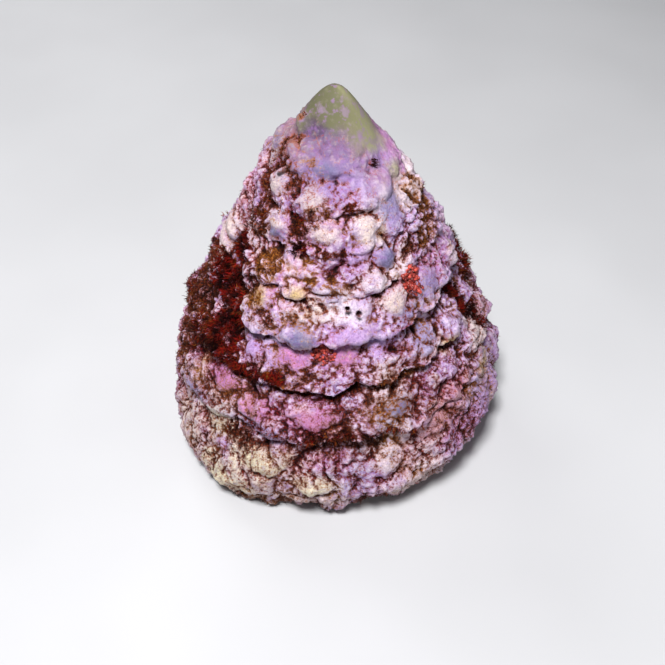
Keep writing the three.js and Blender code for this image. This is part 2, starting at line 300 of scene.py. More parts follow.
# Patches of colour: colour, growth angle, height, half angle, half height
PATCHES = [
    ("violet", -68, 51.8, 18, 2.6),
    ("violet", 5, 51.5, 34, 3.2), ("grey", 7, 51.5, 13, 1.0), ("green", -72, 48.2, 10, 1.2),
    ("cream", 53, 48.7, 8, 1.3), ("cream", 17, 48.7, 8, 1.0), ("grey", -43, 46.3, 12, 2.3),
    ("cream", 42, 44.6, 7, 1.1), ("slate", 40, 43.6, 6, 0.7), ("cream", 7, 45.2, 9, 1.2),
    ("cream", -20, 45.2, 8, 1.1), ("lilac", -12, 41.5, 14, 1.6), ("slate", -31, 40.8, 6, 1.1),
    ("yellow", 19, 37.4, 4, 0.8), ("yellow", 39, 35.2, 5, 1.2), ("cream", 13, 35.0, 8, 1.4),
    ("cream", -30, 35.6, 7, 1.5), ("white", -8, 35.2, 8, 1.4), ("grey", -36, 33.6, 8, 1.1),
    ("slate", 15, 32.3, 7, 1.0), ("lilac", -5, 33.0, 10, 0.8), ("grey", -52, 35.0, 9, 1.9),
    ("lilac", -20, 30.5, 9, 1.8), ("grey", -16, 31.2, 5, 0.8), ("pink", 17, 28.3, 9, 1.5),
    ("pink", -2, 28.9, 8, 1.2), ("lilac", 35, 28.2, 8, 1.6), ("grey", -42, 28.5, 10, 1.6),
    ("pink", 8, 20.6, 9, 1.8), ("pink", 47, 21.0, 8, 1.6), ("pink", 31, 19.8, 9, 1.6),
    ("grey", 24, 18.0, 10, 0.9), ("slate", -24, 21.4, 7, 1.3), ("salmon", -38, 16.4, 11, 3.0),
    ("salmon", -50, 19.0, 8, 2.2), ("ivory", 25, 11.8, 12, 2.6), ("ivory", 48, 14.5, 8, 2.6),
    ("yellow", 63, 22.0, 5, 1.4), ("yellow", -54, 25.4, 5, 1.3), ("yellow", -70, 16.5, 6, 2.0),
    ("cream", 84, 38.5, 9, 1.8), ("cream", 82, 34.5, 8, 1.8), ("grey", 77, 28.3, 7, 1.2),
    ("ivory", 7, 9.0, 8, 1.6), ("cream", -75, 22.0, 7, 3.0), ("lilac", -60, 12.0, 14, 4.0),
    ("cream", 60, 9.0, 12, 5.0), ("ivory", 38, 5.5, 12, 3.6), ("cream", 12, 4.6, 14, 2.6),
    ("grey", 28, 16.4, 12, 1.1), ("grey", 56, 17.0, 8, 1.6), ("cream", -30, 6.0, 16, 3.0),
]

# Turf: hue (-1 ochre, 0 brown, 1 red), growth angle, height, half angle, half height, density
TURF_PATCHES = [
    (1.0, 65, 37.6, 8, 2.6, 0.9), (1.0, 70, 32.4, 12, 3.2, 1.0), (1.0, 54, 30.0, 10, 3.2, 1.0),
    (1.0, 54, 25.6, 11, 2.2, 1.0), (0.9, 38, 23.8, 10, 1.5, 0.9), (0.9, 27, 25.4, 8, 0.8, 0.7),
    (0.6, 66, 24.0, 10, 2.4, 0.8), (0.2, 88, 27.5, 15, 5.0, 1.0), (0.0, 80, 21.0, 11, 3.6, 0.85),
    (0.2, 66, 48.2, 10, 2.6, 0.7), (0.1, 46, 50.9, 9, 1.2, 0.55), (0.2, 57, 45.6, 8, 1.6, 0.7),
    (0.2, 78, 55.4, 9, 0.6, 0.6), (0.1, 68, 51.8, 10, 1.2, 0.7),
    (0.1, 53, 53.1, 7, 0.7, 0.6), (-0.5, 25, 52.0, 5, 0.5, 0.5), (0.1, 36, 48.9, 6, 1.0, 0.8),
    (0.7, -47, 50.8, 5, 0.5, 0.6), (0.2, -13, 51.2, 4, 0.3, 0.5), (-0.2, 10, 47.5, 9, 0.6, 0.8),
    (0.3, -11, 47.4, 9, 0.5, 0.8), (0.1, 14, 46.4, 6, 0.9, 0.8), (0.2, 24, 44.5, 8, 1.3, 0.9),
    # The patch at growth angle 4 and height 42.4 is a painted shadow: dark turf and film put in a ledge's
    # shadow.
    (0.8, 20, 42.4, 6, 0.9, 0.8), (0.3, 4, 42.4, 12, 0.6, 0.9), (0.2, 60, 42.8, 10, 1.8, 0.6),
    (-0.7, 39, 38.6, 9, 1.8, 0.95), (-0.8, 14, 39.8, 5, 1.3, 0.85), (-0.7, 41, 34.1, 6, 1.4, 0.7),
    (0.1, 34, 32.6, 6, 1.0, 0.8), (0.3, 52, 36.5, 6, 1.5, 0.5), (-0.6, 0, 38.4, 8, 0.8, 0.5),
    (-0.4, -67, 40.6, 10, 2.2, 0.8), (-0.5, -80, 43.6, 12, 3.0, 0.9), (0.9, -72, 29.0, 3.5, 2.6, 0.8),
    (0.8, -80, 23.5, 4, 3.0, 0.5), (0.2, -50, 40.5, 6, 1.4, 0.6), (-0.2, 72, 14.5, 10, 3.0, 0.4),
    (0.3, 36, 14.0, 6, 2.0, 0.5), (-0.3, -30, 24.6, 16, 0.9, 0.6), (0.5, -5, 18.0, 22, 0.8, 0.6),
    (0.5, 10, 23.4, 16, 0.8, 0.6), (-0.2, 150, 34.0, 30, 5.0, 0.6), (0.9, 190, 22.0, 26, 4.0, 0.8),
    (-0.4, 225, 40.0, 22, 4.0, 0.7), (-0.2, 118, 18.0, 18, 5.0, 0.5), (0.6, 255, 28.0, 16, 4.0, 0.6),
]

# Density of the turf: middle value, noise about it, loss on bumps, and the height above which it grows
TURF_MIDDLE = 0.85
TURF_NOISE = [{"cell": 1.5, "height": 0.5, "seed": 92}]
TURF_LOSS = 0.35
TURF_ABOVE = 1.5

# Hue of the film outside the patches of turf, redder in hollows
HUE = {"middle": 0.1, "cell": 4, "seed": 91, "hollow": 0.4, "ramp": (0.2, 0.6)}

# Film of brown and red growth: how much creases, hollows, the deepest hollows, where the film is partly
# painted shade, the foot, the lower whorls and a band add to it, and rims and a cleaner side take away; then
# the share that is lost on plates, near the tip and on the base, and how even the skin is there
FILM = {
    "crease": 0.5, "hollow": 0.54, "rim": 0.25, "deep": 0.3,
    "foot": 0.5, "low": 0.16, "band": 0.22, "cleaner": 0.2,
}
FILM_NOISE = [{"cell": 5, "height": 0.3, "seed": 93}]
FILM_BAND = {"height": 23, "half_height": 6}
CLEANER_SIDE = {"angle": -72, "height": 26, "half_angle": 32, "half_height": 15}
FILM_LOSS = {"plates": 0.42, "clean": 0.78, "base": 0.8}
EVENNESS = {"clean": 0.5, "plates": 0.2}

# Noise in the crust's skin: cell size in millimetres, detail and roughness
GRAIN = {"cell": 0.27, "detail": 4.0, "rough": 0.7}
BLOTCHES = {"cell": 1.0, "detail": 4.0, "rough": 0.65}
BLUSH = {"cell": 0.8, "detail": 3.0}
SPECKS = {"cell": 0.28, "detail": 3.0, "rough": 0.7}
THREADS = {"cell": 0.8, "detail": 3.0, "rough": 0.6}
VEINS = {"cell": 1.8, "detail": 5.0}
PIT_CELL = 0.55

# Ranges in the skin: values at which something starts and ends, and its strength there, or else 0 and 1
ROUGH_SKIN = (0, 1, 1, 0.12)
PALE_RANGE = (0.52, 0.68, 0, 0.35)
BLUSH_RANGE = (0.54, 0.7, 0, 0.45)
SPECK_RANGE = (0.52, 0.66, 0, 0.5)
FILM_GRAIN = (0.25, 0.75, -0.45, 0.45)
FILM_BLOTCH = (0.3, 0.7, -0.25, 0.25)
FILM_THREADS = (0, 0.06, 0.32, 0)
FLECK_RANGE = (0.45, 0.75)
HALO_HUE = (-0.6, 0.6)
HALO_RANGE = (0.16, 0.6, 0, 0.68)
STAIN_RANGE = (0.42, 0.98, 0, 0.97)
PAINTED_SHADE_RANGE = (0, 1, 0, 0.93)
VEIN_RANGE = (0.53, 0.62)
VEIN_STRENGTH = 0.5
LIGHT_RANGE = (0.25, 0.75)
CRUST_DULLNESS = (0.3, 0.7, 0.4, 0.8)
PEARL_GLOSS = (0, 1, 1, 0.4)
CRUST_BUMP = {"distance": 0.22, "strength": 0.5}
SHEEN = 0.08

# Colours of the skin, and pairs of colours between which the noise or the hue chooses
BLUSH_COLOUR = (0.60, 0.44, 0.66)
SPECK_COLOUR = (0.44, 0.29, 0.46)
# The colour of the painted shade in deep hollows and pinholes
PAINTED_SHADE_COLOUR = (0.08, 0.015, 0.02)
VEIN_COLOUR = (0.58, 0.48, 0.60)
HALO_COLOURS = [(0.64, 0.43, 0.17), (0.58, 0.24, 0.15)]
NACRE_COLOURS = [(0.90, 0.84, 0.80), (0.78, 0.86, 0.82)]
LIGHT_COLOURS = [(0.76, 0.74, 0.79), (1.0, 1.0, 1.0)]
FILM_COLOURS = {
    "brown": [(0.15, 0.03, 0.015), (0.56, 0.24, 0.09)],
    "ruby": [(0.12, 0.01, 0.015), (0.52, 0.07, 0.06)],
    "ochre": [(0.40, 0.19, 0.05), (0.72, 0.47, 0.16)],
}

# Colours and finish of the turf
TURF_COLOURS = {
    "brown": [(0.10, 0.022, 0.012), (0.57, 0.30, 0.125)],
    "ruby": [(0.08, 0.007, 0.01), (0.60, 0.09, 0.065)],
    "ochre": [(0.24, 0.11, 0.04), (0.66, 0.43, 0.18)],
}
TURF_MOTTLE = {"cell": 0.4, "range": (0.35, 0.65, 0, 0.3), "colour": (0.20, 0.045, 0.03)}
TURF_DULLNESS = (0, 1, 0.55, 0.8)
TURF_BUMP = {"cell": 0.08, "distance": 0.02, "strength": 0.4}

# Filaments of turf: number, least and greatest length, radius at the root
RED_TURF = {"name": "turf_red", "number": 15000, "length": (0.5, 1.3), "radius": 0.07, "seed": 5}
BROWN_TURF = {"name": "turf_brown", "number": 19000, "length": (0.25, 0.75), "radius": 0.05, "seed": 6}
FILAMENT_SIDES = 3
ROOT_DEPTH = 0.15
MIDDLE_WIDTH = 0.75

# Red filaments grow where the hue is red, and brown ones where the film is thick, fewer outside the turf and
# among the red ones
RED_RAMP = (0.3, 0.8)
BROWN_RAMP = (0.3, 0.9)
BROWN_LEAST = 0.25
BROWN_LOSS = 0.8

# Painted shade and light along a filament: brightness of its root, middle and tip
FILAMENT_PAINTED_SHADING = (0.5, 0.9, 1.2)

# Filaments of a tuft lean one way and have a like shade; each has a lean, shade and hue of its own besides
TUFT = {
    "cell": 1.1, "lean_seed": 121, "shade_seed": 131,
    "shade": 0.22, "contrast": 0.8, "shade_spread": 0.22, "hue_spread": 0.4,
}
LOWER_LEAN = {"tuft": 0.7, "own": 0.4}
UPPER_LEAN = {"tuft": 0.6, "own": 0.5, "sag": 0.25}

# Colonies of red granules: growth angle, height, half angle, half height, number of granules
COLONIES = [(-42, 37.0, 5, 1.7, 260), (5, 29.0, 5, 1.1, 170)]
GRANULES = {
    "seed": 12, "radius": (0.12, 0.27), "heap": (-0.1, 0.35), "squash": (0.75, 1.2), "shade_power": 1.5,
}
GRANULE_COLOURS = [(0.36, 0.03, 0.035), (0.80, 0.31, 0.26)]
PORES = {"cell": 0.16, "range": (0.1, 0.3), "colour": (0.34, 0.03, 0.035)}
GRANULE_DULLNESS = {"cell": 0.2, "range": (0.3, 0.7, 0.3, 0.55)}
GRANULE_BUMP = {"cell": 0.12, "detail": 3.0, "distance": 0.06, "strength": 0.5}

# Light, floor and camera, in millimetres in the part's frame
CAMERA = {
    "place": (-0.655, -103.611, 124.292), "aim": (-0.655, 0.286, 15.18),
    "lens": 52.62, "sensor": 36, "nearest": 10,
}
LIGHT_AIM = (0, 0, 25)
LIGHTS = [
    ("key", (-25, -112, 258), 50, 1.1),
    ("fill", (240, -200, 160), 200, 0.12),
    ("back", (-160, 220, 220), 200, 0.5),
]
WORLD = {"colour": (0.9, 0.93, 1.0, 1), "strength": 0.1}
FLOOR = {
    "half_width": 1500, "cell": 40, "range": (0.3, 0.7), "roughness": 0.7,
    "colours": [(0.75, 0.75, 0.76), (0.77, 0.77, 0.78)],
}


def lerp(start, end, part):
    return start + (end - start) * part


def smoothstep(value, low, high):
    part = np.clip((value - low) / (high - low), 0, 1)
    return part * part * (3 - 2 * part)


def turned(angle):
    """An angle in degrees, brought to -180 to 180."""
    return angle - 360 * np.round(angle / 360)


def growth_angle(points):
    return np.degrees(np.arctan2(-points[..., 0], -points[..., 1]))


def axis_distance(points):
    return np.hypot(points[..., 0], points[..., 1])


def polar_point(turn, radius, height):
    angle = turn * 2 * np.pi
    return np.stack([-radius * np.sin(angle), -radius * np.cos(angle), height + 0 * angle], axis=-1)


def outline_radius(height):
    """Radius of the smooth outline: a rounded cone with a slight waist."""
    below = np.maximum(SHELL_HEIGHT - height, 0)
    from_point = np.sqrt(below * (below + 2 * TIP_BLUNTNESS))
    rise = 1 - from_point / (SHELL_HEIGHT + TIP_BLUNTNESS - BELLY_HEIGHT)
    cone = SHELL_RADIUS * (1 - np.maximum(rise, 0) ** SIDE_POWER)
    return cone - WAIST["depth"] * np.exp(-(((height - WAIST["height"]) / WAIST["half_height"]) ** 2))


def ledge_height(turn):
    drop = LAST_DROP["height"] * smoothstep(turn, LAST_DROP["start"], LAST_DROP["end"])
    return LEDGE_LIMIT - (LEDGE_LIMIT - LOWEST_LEDGE) * TURN_RATIO ** -turn - drop


def pitch_at(turn):
    return ledge_height(turn - 1) - ledge_height(turn)


def seam_height(turn):
    return ledge_height(turn) - SEAM_DROP * pitch_at(turn)


def spot(place, angle, height):
    """A soft spot on the surface: 1 at its middle, near 0 outside its half sizes."""
    aside = turned(angle - place["angle"]) / place["half_angle"]
    above = (height - place["height"]) / place["half_height"]
    return np.exp(-(aside**2) - above**2)


def ledge_strength(turn):
    whorls = np.arange(len(LEDGE_STRENGTH))
    strength = np.interp(-turn, whorls, LEDGE_STRENGTH)
    return strength * (1 - WORN_PATCH["loss"] * spot(WORN_PATCH, turn * 360, ledge_height(turn)))


def ledge_depth(turn):
    return LEDGE_DEPTH * pitch_at(turn) * ledge_strength(turn)


def lobe_turns():
    """Turn numbers of all lobes: those seen at the front, and evenly spaced ones between them."""
    seen = sorted(angle / 360 - whorl for whorl, angles in enumerate(FRONT_LOBES) for angle in angles)
    known = [-len(FRONT_LOBES) - 2, *seen, 1]
    turns = []
    for start, end in zip(known, known[1:]):
        steps = max(1, round((end - start) * LOBES_PER_TURN))
        turns.extend(lerp(start, end, step / steps) for step in range(steps))
    return np.array(turns)


LOBE_TURNS = lobe_turns()


def lobe_at(turn):
    """Scalloped edge: 1 in the middle of a lobe, 0 in the notch between two."""
    after = np.clip(np.searchsorted(LOBE_TURNS, turn, side="right"), 1, len(LOBE_TURNS) - 1)
    before = LOBE_TURNS[after - 1]
    part = np.clip((turn - before) / (LOBE_TURNS[after] - before), 0, 1)
    nearest = 2 * np.minimum(part, 1 - part)
    return np.sqrt(1 - nearest * nearest)


def lattice_value(x, y, z, seed):
    """A repeatable value from -1 to 1 for each point of a whole-number lattice."""
    first, second, third, last = (np.uint32(prime) for prime in LATTICE_PRIMES)
    early, late = (np.uint32(shift) for shift in LATTICE_SHIFTS)
    whole = [part.astype(np.int64).astype(np.uint32) for part in (x, y, z + seed)]
    shuffled = whole[0] * first ^ whole[1] * second ^ whole[2] * third
    shuffled = (shuffled ^ shuffled >> early) * last
    shuffled = shuffled ^ shuffled >> late
    return shuffled / LATTICE_RANGE * 2 - 1


def smooth_noise(points, cell, seed):
    """Smooth noise from -1 to 1 between values on a lattice of that cell size."""
    scaled = points / cell
    low = np.floor(scaled)
    u, v, w = np.moveaxis((scaled - low) ** 2 * (3 - 2 * (scaled - low)), -1, 0)
    x, y, z = np.moveaxis(low, -1, 0)

    def along(step_y, step_z):
        ends = [lattice_value(x + step, y + step_y, z + step_z, seed) for step in (0, 1)]
        return lerp(ends[0], ends[1], u)

    return lerp(lerp(along(0, 0), along(1, 0), v), lerp(along(0, 1), along(1, 1), v), w)


def layered_noise(points, layers):
    return sum(layer["height"] * smooth_noise(points, layer["cell"], layer["seed"]) for layer in layers)


def lumps(points):
    cover = 1 - smoothstep(points[..., 2], SMOOTH_ABOVE, SMOOTH_ABOVE + SMOOTH_OVER)
    return layered_noise(points, LUMP_LAYERS) * cover


def whorl_point(turn, share):
    """Point of the coiled surface: share 0 is the seam above, EDGE_SHARE the edge, 1 the seam below."""
    edge = lobe_at(turn)
    strength = ledge_strength(turn)
    edge_height = ledge_height(turn) - LOBE_DROOP * pitch_at(turn) * strength * edge
    bulge = LOBE_HEIGHT * strength * (edge - LOBE_MIDDLE)
    down = np.clip(share / EDGE_SHARE, 0, 1)
    under = np.clip((share - EDGE_SHARE) / (1 - EDGE_SHARE), 0, 1)
    face_height = lerp(seam_height(turn - 1), edge_height, down)
    face_offset = bulge * down**LOBE_FADE_POWER - ledge_depth(turn - 1) * (1 - down) ** FLARE_POWER
    height = np.where(under > 0, lerp(edge_height, seam_height(turn), under), face_height)
    roll = RIM["height"] * strength * np.exp(-(((share - RIM["share"]) / RIM["half"]) ** 2))
    offset = np.where(under > 0, lerp(bulge, -ledge_depth(turn), under), face_offset) + roll
    smooth = outline_radius(height) + offset
    radius = smooth + lumps(polar_point(turn, smooth, height))
    for dent in DENTS:
        radius = radius - dent["depth"] * spot(dent, turn * 360, height)
    return polar_point(turn, radius, height)


def net_point(column, row):
    """Vertex of the coiled net; the top row is the row of the whorl above that it grew from."""
    column = np.where(row == 0, column - LOOP_COLUMNS, column)
    share = ROWS[np.where(row == 0, LAST_ROW, row)]
    return whorl_point((column - share * SLANT) / COLUMNS, share)


def bounding_loop(first_column, edge_column, along_row):
    """Closed loop round the net: along a row, then back up or down the net's end."""
    steps = np.arange(LOOP_LENGTH)
    on_row = steps <= LOOP_COLUMNS
    columns = np.where(on_row, first_column + steps, edge_column)
    rows = np.where(on_row, along_row, LOOP_LENGTH - steps)
    return net_point(columns, rows)


def tip_rings():
    """Smooth tip: rings from the point down to the upper loop."""
    loop = bounding_loop(FIRST_COLUMN, FIRST_COLUMN, 0)
    turn = growth_angle(loop) / 360
    inset = outline_radius(loop[:, 2]) - axis_distance(loop)
    rings = []
    for ring in range(TIP_CAP_RINGS):
        up = 1 - ring / TIP_CAP_RINGS
        height = lerp(loop[:, 2], SHELL_HEIGHT, up)
        rings.append(polar_point(turn, outline_radius(height) - inset * (1 - up), height))
    return np.stack([*rings, loop])


def lip_lift(angle, radius):
    """Lift of the base past the lip, where the mouth opens; towards the axis the lip lies further back."""
    past = np.mod(angle - LIP_ANGLE + LIP_SWEEP, 360) - LIP_SWEEP
    swept = LIP_SWEEP * (1 - radius / SHELL_RADIUS)
    rise = smoothstep(past + swept, 0, SLANT_ANGLE)
    fall = smoothstep(past, SLANT_ANGLE, SLANT_ANGLE + LIFT_FALL)
    return LIP_LIFT * rise * (1 - fall)


def base_height(angle, radius):
    """Height of the underside inside the foot ring, with its cords rounded."""
    place = np.interp(-radius, -BASE_RINGS[:, 0], np.arange(len(BASE_RINGS)))
    below = np.minimum(place.astype(int), len(BASE_RINGS) - 2)
    part = smoothstep(place - below, 0, 1)
    height = lerp(BASE_RINGS[below, 1], BASE_RINGS[below + 1, 1], part)
    share = lerp(BASE_RINGS[below, 2], BASE_RINGS[below + 1, 2], part)
    return height + share * lip_lift(angle, radius)


def base_rings():
    """Base: rounded under from the lower loop to the foot ring, then rings to the axis."""
    loop = bounding_loop(LAST_COLUMN - LOOP_COLUMNS, LAST_COLUMN, LAST_ROW)
    angle = growth_angle(loop)
    rim = axis_distance(loop)
    lift = lip_lift(angle, SHELL_RADIUS)
    rings = [loop]
    for ring in range(1, ROUNDING_RINGS + 1):
        bend = ring / ROUNDING_RINGS * np.pi / 2
        height = lerp(loop[:, 2], lift, np.sin(bend))
        radius = rim - FOOT_INSET * (loop[:, 2] - lift) * (1 - np.cos(bend))
        swell = lumps(polar_point(angle / 360, radius, height)) * np.cos(bend)
        rings.append(polar_point(angle / 360, radius + swell, height))
    steps = (len(BASE_RINGS) - 1) * RINGS_BETWEEN
    given = np.linspace(0, 1, len(BASE_RINGS))
    for radius in np.interp(np.linspace(0, 1, steps + 1), given, BASE_RINGS[:, 0]):
        even = np.full(len(loop), radius)
        rings.append(polar_point(angle / 360, even, base_height(angle, even)))
    return np.stack(rings)


def mouth_oval(turn):
    """Height of the mouth tube's middle and scale of its oval, at a turn number from 0 back from the lip."""
    along = (LIP_ANGLE + MOUTH_OVERRUN - turn * 360) / MOUTH_SWEEP
    inside = np.maximum(along - (1 - MOUTH_END_SHARE), 0) / MOUTH_END_SHARE
    scale = (1 - MOUTH_NARROWING * along) * np.sqrt(np.maximum(1 - inside * inside, 0))
    climb = np.maximum(ledge_height(turn) - ledge_height(LIP_ANGLE / 360), 0)
    dip = MOUTH_DIP["height"] * smoothstep(turn * 360, LIP_ANGLE - MOUTH_DIP["over"], LIP_ANGLE)
    return MOUTH_CENTRE["height"] + MOUTH_RISE * climb - dip, scale


def mouth_rings():
    sides = -np.arange(MOUTH_SIDES) * 2 * np.pi / MOUTH_SIDES
    rings = []
    for step in range(MOUTH_STEPS + 1):
        turn = np.full(MOUTH_SIDES, (LIP_ANGLE + MOUTH_OVERRUN - step / MOUTH_STEPS * MOUTH_SWEEP) / 360)
        middle, scale = mouth_oval(turn)
        scale = scale * (step > 0)
        radius = MOUTH_CENTRE["radius"] + MOUTH_HALF["width"] * scale * np.cos(sides)
        rings.append(polar_point(turn, radius, middle + MOUTH_HALF["height"] * scale * np.sin(sides)))
    return np.stack(rings)


def grid_faces(rows, columns, closed):
    """Corner numbers of a sheet's four-sided faces; a closed sheet joins its last column to the first."""
    across = columns if closed else columns - 1
    row, column = np.meshgrid(np.arange(rows - 1), np.arange(across), indexing="ij")
    following = (column + 1) % columns
    corners = [row * columns + column, (row + 1) * columns + column]
    corners += [(row + 1) * columns + following, row * columns + following]
    return np.stack(corners, axis=-1).reshape(-1, 4)


def new_object(name, data):
    made = bpy.data.objects.new(name, data)
    bpy.context.scene.collection.objects.link(made)
    return made


def solid_object(name, sheets):
    """Sheets that meet edge to edge, welded into one closed mesh object, in millimetres."""
    points = []
    faces = []
    for grid, closed in sheets:
        faces.append(grid_faces(grid.shape[0], grid.shape[1], closed) + sum(len(part) for part in points))
        points.append(grid.reshape(-1, 3))
    mesh = bpy.data.meshes.new(name)
    mesh.from_pydata(np.concatenate(points).tolist(), [], np.concatenate(faces).tolist())
    welded = bmesh.new()
    welded.from_mesh(mesh)
    bmesh.ops.remove_doubles(welded, verts=welded.verts, dist=WELD_DISTANCE)
    bmesh.ops.recalc_face_normals(welded, faces=welded.faces)
    welded.to_mesh(mesh)
    welded.free()
    return new_object(name, mesh)


def shell_mesh():
    """The whole shell with its mouth cut in, as an even net of small faces, in millimetres."""
    columns, rows = np.meshgrid(np.arange(FIRST_COLUMN, LAST_COLUMN + 1), np.arange(LAST_ROW + 1))
    coil = net_point(columns, rows)
    body = solid_object("body", [(coil, False), (tip_rings(), True), (base_rings(), True)])
    tube = solid_object("tube", [(mouth_rings(), True)])
    cut = body.modifiers.new("cut", "BOOLEAN")
    cut.object = tube
    cut.operation = "DIFFERENCE"
    cut.solver = "MANIFOLD"
    even = body.modifiers.new("even", "REMESH")
    even.mode = "VOXEL"
    even.voxel_size = FACE_SIZE
    mesh = applied(body)
    for scratch in (body, tube):
        bpy.data.objects.remove(scratch)
    return mesh


def applied(made):
    """A new mesh of the object with its modifiers applied."""
    return bpy.data.meshes.new_from_object(made.evaluated_get(bpy.context.evaluated_depsgraph_get()))


def thinned(mesh, triangles):
    """The same mesh with fewer triangles, which stay small where the surface bends most."""
    mesh.calc_loop_triangles()
    made = new_object("thinned", mesh)
    fewer = made.modifiers.new("fewer", "DECIMATE")
    fewer.ratio = triangles / len(mesh.loop_triangles)
    result = applied(made)
    bpy.data.objects.remove(made)
    return result


class Net:
    """The shell's even net of faces, as arrays that can be moved and smoothed."""

    def __init__(self, mesh):
        self.count = len(mesh.vertices)
        self.points = np.empty((self.count, 3))
        mesh.vertices.foreach_get("co", self.points.ravel())
        self.edges = np.empty((len(mesh.edges), 2), int)
        mesh.edges.foreach_get("vertices", self.edges.ravel())
        mesh.calc_loop_triangles()
        self.triangles = np.empty((len(mesh.loop_triangles), 3), int)
        mesh.loop_triangles.foreach_get("vertices", self.triangles.ravel())
        self.degree = np.bincount(self.edges.ravel(), minlength=self.count)

    def gathered(self, places, values):
        columns = [np.bincount(places, weights=column, minlength=self.count) for column in values.T]
        return np.stack(columns, axis=1)

    def smoothed(self, values, passes):
        """Values at the vertices, averaged with those of their neighbours, that many times."""
        start, end = self.edges.T
        for _ in range(passes):
            total = self.gathered(start, values[end]) + self.gathered(end, values[start])
            values = (values + total / self.degree[:, None]) / 2
        return values

    def face_normals(self):
        a, b, c = (self.points[corner] for corner in self.triangles.T)
        return np.cross(b - a, c - a)

    def normals(self):
        across = self.face_normals()
        total = sum(self.gathered(corner, across) for corner in self.triangles.T)
        return total / np.linalg.norm(total, axis=1, keepdims=True)

    def hollowness(self, passes):
        """How far each vertex lies below its smoothed surroundings; negative on a bump."""
        return np.einsum("ij,ij->i", self.smoothed(self.points, passes) - self.points, self.normals())


def sampled(points, layer, value):
    """A field's value at each point, with cells of the layer's size."""
    shift = Vector((layer["seed"], layer["seed"], layer["seed"]))
    return np.array([value(Vector(point) + shift) for point in points / layer["cell"]])


def swells(points, layer):
    """Uneven swellings with winding creases between them, spread evenly about 0."""
    heights = sampled(points, layer, lambda point: fields.turbulence(point, layer["octaves"], True))
    return (heights - heights.mean()) / heights.std()


def cell_gap(point):
    nearest = fields.voronoi(point)[0]
    return nearest[1] - nearest[0]


def cobbles(points, layer):
    """Rounded cells with creases between them, spread about the level of the plain crust."""
    gaps = sampled(points, layer, cell_gap)
    return np.sqrt(np.clip(gaps / layer["crease"], 0, 1)) - COBBLE_LEVEL


def warped(points, warp):
    """Points pushed about by noise, so that cells on them have uneven outlines."""
    push = [smooth_noise(points, warp["cell"], warp["seed"] + step) for step in range(3)]
    return points + warp["strength"] * np.stack(push, axis=1)


def faded(share, loss):
    """1 where the share is 0, less by the loss where it is 1."""
    return 1 - loss * share


def mouth_share(points):
    """1 inside the mouth tube and on its wall, 0 outside it."""
    angle = np.mod(growth_angle(points) - LIP_ANGLE - MOUTH_OVERRUN, -360) + LIP_ANGLE + MOUTH_OVERRUN
    middle, scale = mouth_oval(angle / 360)
    scale = np.maximum(scale, MOUTH_LEAST_SCALE)
    wide = (axis_distance(points) - MOUTH_CENTRE["radius"]) / (MOUTH_HALF["width"] * scale)
    high = (points[:, 2] - middle) / (MOUTH_HALF["height"] * scale)
    reached = angle > LIP_ANGLE + MOUTH_OVERRUN - MOUTH_SWEEP
    return (1 - smoothstep(np.hypot(wide, high), *MOUTH_WALL_RAMP)) * reached


def base_share(points):
    """1 on the underside inside the foot ring, 0 on the sides."""
    radius = axis_distance(points)
    over = points[:, 2] - base_height(growth_angle(points), radius)
    inside = 1 - smoothstep(radius, FOOT_RING - FOOT_RING_HALF, FOOT_RING + FOOT_RING_HALF)
    return (1 - smoothstep(over, *UNDERSIDE_RAMP)) * inside


def tip_lean(points):
    """How much higher the crust reaches up to the tip on the left; negative on the right."""
    return TIP_LEAN["height"] * np.cos(np.radians(growth_angle(points) - TIP_LEAN["angle"]))


def tip_share(points):
    """1 on the smooth worn tip, 0 on the crust; the border is ragged and dips on the right."""
    dip = TIP_BORDER["dip"] * spot(TIP_BORDER, growth_angle(points), points[:, 2])
    lifted = points[:, 2] + dip + layered_noise(points, TIP_RAGGED)
    start = TIP_BORDER["height"] - TIP_BORDER["below"]
    return smoothstep(lifted, start, TIP_BORDER["height"] + TIP_BORDER["above"])


def dome(points, place, height, half_width, half_height):
    """1 on a place of that width and height in millimetres, with a short slope to 0 round it."""
    aside = turned(growth_angle(points) - place) * np.radians(axis_distance(points)) / half_width
    return np.exp(-(np.hypot(aside, (points[:, 2] - height) / half_height) ** DOME_POWER))


def knobs(points):
    """Height of the knobs that have a place of their own, and 1 on them and 0 between them."""
    total = np.zeros(len(points))
    share = np.zeros(len(points))
    for *place, rise in KNOBS:
        inside = dome(points, *place)
        total += rise * inside
        share = np.maximum(share, inside)
    return total, share


def plate_share(points):
    return np.maximum.reduce([dome(points, *place) for place in PLATES])


def pinhole_share(points, slope):
    """1 in the pinholes and 0 outside them; the slope starts and ends at those numbers of radii."""
    share = np.zeros(len(points))
    around = np.radians(axis_distance(points))
    for place, height, radius in PINHOLES:
        reach = np.hypot(turned(growth_angle(points) - place) * around, points[:, 2] - height) / radius
        share = np.maximum(share, 1 - smoothstep(reach, *slope))
    return share


def round_edges(net):
    """Rounds what stands out, such as the ledges' edges, and leaves the seams under them deep."""
    smooth = net.smoothed(net.points, ROUNDING_PASSES)
    outstanding = 1 - smoothstep(net.hollowness(ROUNDING_PASSES), *EDGE_RAMP)
    net.points = lerp(net.points, smooth, outstanding[:, None])


def crust_cover(net):
    """Share of the relief at each vertex: less on bare skin, in hollows, on rims and near the tip."""
    points = net.points
    hollow = net.hollowness(SHELTER_PASSES)
    bare = np.maximum.reduce([mouth_share(points), base_share(points), tip_share(points)])
    cover = faded(bare, RELIEF_LOSS["bare"])
    cover = cover * faded(smoothstep(hollow, *SHELTERED_RAMP), RELIEF_LOSS["sheltered"])
    cover = cover * faded(smoothstep(-hollow, *RIM_RAMP), RELIEF_LOSS["rim"])
    near_tip = smoothstep(points[:, 2] - tip_lean(points), *NEAR_TIP_RAMP)
    return cover * faded(near_tip, RELIEF_LOSS["near_tip"])


